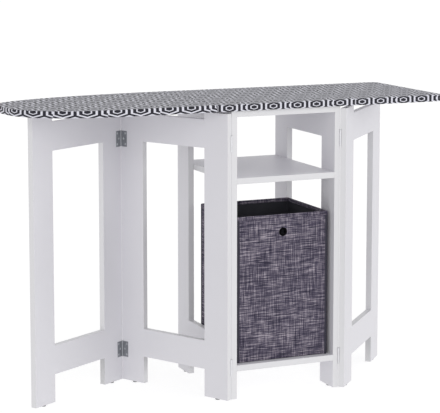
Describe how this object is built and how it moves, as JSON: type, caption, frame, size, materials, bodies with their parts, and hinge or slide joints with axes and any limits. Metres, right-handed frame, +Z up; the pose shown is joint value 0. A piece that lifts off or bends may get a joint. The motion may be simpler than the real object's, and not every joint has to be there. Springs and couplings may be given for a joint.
{
  "type": "ironing board cabinet",
  "caption": "White gate-leg ironing table: a padded board in hinged sections on folding gates, over an open shelf cabinet with a pull-out laundry basket.",
  "frame": {"origin": "on the floor, under the middle of the table as it stands open", "axes": "+X along the board towards its square end, +Y from the open front to the back, +Z up"},
  "size_m": [1.315, 0.4294, 0.87],
  "materials": {
    "white_board": "white melamine foil on particle board, satin",
    "beech": "bare beech",
    "zinc": "zinc plated",
    "hinge_steel": "dull zinc plated sheet steel",
    "glide": "dark plastic",
    "fibreboard": "bare fibreboard",
    "felt": "needle felt",
    "cover_cloth": "cotton printed with black and white hexagons",
    "basket_weave": "coarse melange weave",
    "dark_cloth": "black cotton",
    "black_metal": "black lacquer"
  },
  "bodies": {
    "cabinet": {"left_side_frame": "white_board", "right_side_frame": "white_board", "top_panel": "white_board", "middle_shelf": "white_board", "bottom_shelf": "white_board", "dowels": "beech", "connecting_bolts": "zinc", "cam_locks": "zinc", "cabinet_glides": "glide", "centre_board": "white_board", "centre_pad": "felt", "centre_cover": "cover_cloth", "board_screws": "zinc", "left_post_hinge_leaves": "hinge_steel", "left_post_hinge_pins": "zinc", "left_post_hinge_screws": "zinc", "right_post_hinge_leaves": "hinge_steel", "right_post_hinge_pins": "zinc", "right_post_hinge_screws": "zinc", "left_joint_centre_leaves": "hinge_steel", "left_joint_pins": "zinc", "left_joint_centre_screws": "zinc", "right_joint_centre_leaves": "hinge_steel", "right_joint_pins": "zinc", "right_joint_centre_screws": "zinc"},
    "left_inner_gate_leg": {"left_inner_gate": "white_board", "left_inner_gate_glides": "glide", "left_inner_hinge_leaves": "hinge_steel", "left_inner_hinge_screws": "zinc", "fold_hinge_inner_leaves": "hinge_steel", "fold_hinge_pins": "zinc", "fold_hinge_inner_screws": "zinc"},
    "left_outer_gate_leg": {"left_outer_gate": "white_board", "left_outer_gate_glides": "glide", "fold_hinge_outer_leaves": "hinge_steel", "fold_hinge_outer_screws": "zinc"},
    "right_gate_leg": {"right_gate": "white_board", "right_gate_glides": "glide", "right_gate_hinge_leaves": "hinge_steel", "right_gate_hinge_screws": "zinc"},
    "left_flap": {"left_flap_board": "white_board", "left_flap_pad": "felt", "left_flap_cover": "cover_cloth", "left_flap_hinge_leaves": "hinge_steel", "left_flap_hinge_screws": "zinc"},
    "right_flap": {"right_flap_board": "white_board", "right_flap_pad": "felt", "right_flap_cover": "cover_cloth", "right_flap_hinge_leaves": "hinge_steel", "right_flap_hinge_screws": "zinc"},
    "basket": {"basket_shell": "basket_weave", "basket_stiffeners": "fibreboard", "basket_base_board": "fibreboard", "basket_lining": "dark_cloth", "basket_binding": "dark_cloth", "basket_eyelet": "black_metal"}
  },
  "joints": [
    {"name": "left_gate_swing", "type": "hinge", "parent": "cabinet", "child": "left_inner_gate_leg", "pos_m": [-0.0376, -0.20241, 0.4], "axis": [0, 0, 1], "range_deg": [-28.5, 61.5]},
    {"name": "left_gate_fold", "type": "hinge", "parent": "left_inner_gate_leg", "child": "left_outer_gate_leg", "pos_m": [-0.24551, 0.14236, 0.4], "axis": [0, 0, -1], "range_deg": [-87.5, 87.5]},
    {"name": "right_gate_swing", "type": "hinge", "parent": "cabinet", "child": "right_gate_leg", "pos_m": [0.3126, -0.20241, 0.4], "axis": [0, 0, -1], "range_deg": [-43, 47]},
    {"name": "left_flap_lift", "type": "hinge", "parent": "cabinet", "child": "left_flap", "pos_m": [-0.085, 0.00219, 0.8532], "axis": [0, 1, 0], "range_deg": [0, 5]},
    {"name": "right_flap_lift", "type": "hinge", "parent": "cabinet", "child": "right_flap", "pos_m": [0.3555, 0.00219, 0.8532], "axis": [0, -1, 0], "range_deg": [0, 5]},
    {"name": "basket_slide", "type": "slide", "parent": "cabinet", "child": "basket", "axis": [0, -1, 0], "range_m": [0, 0.22]}
  ]
}
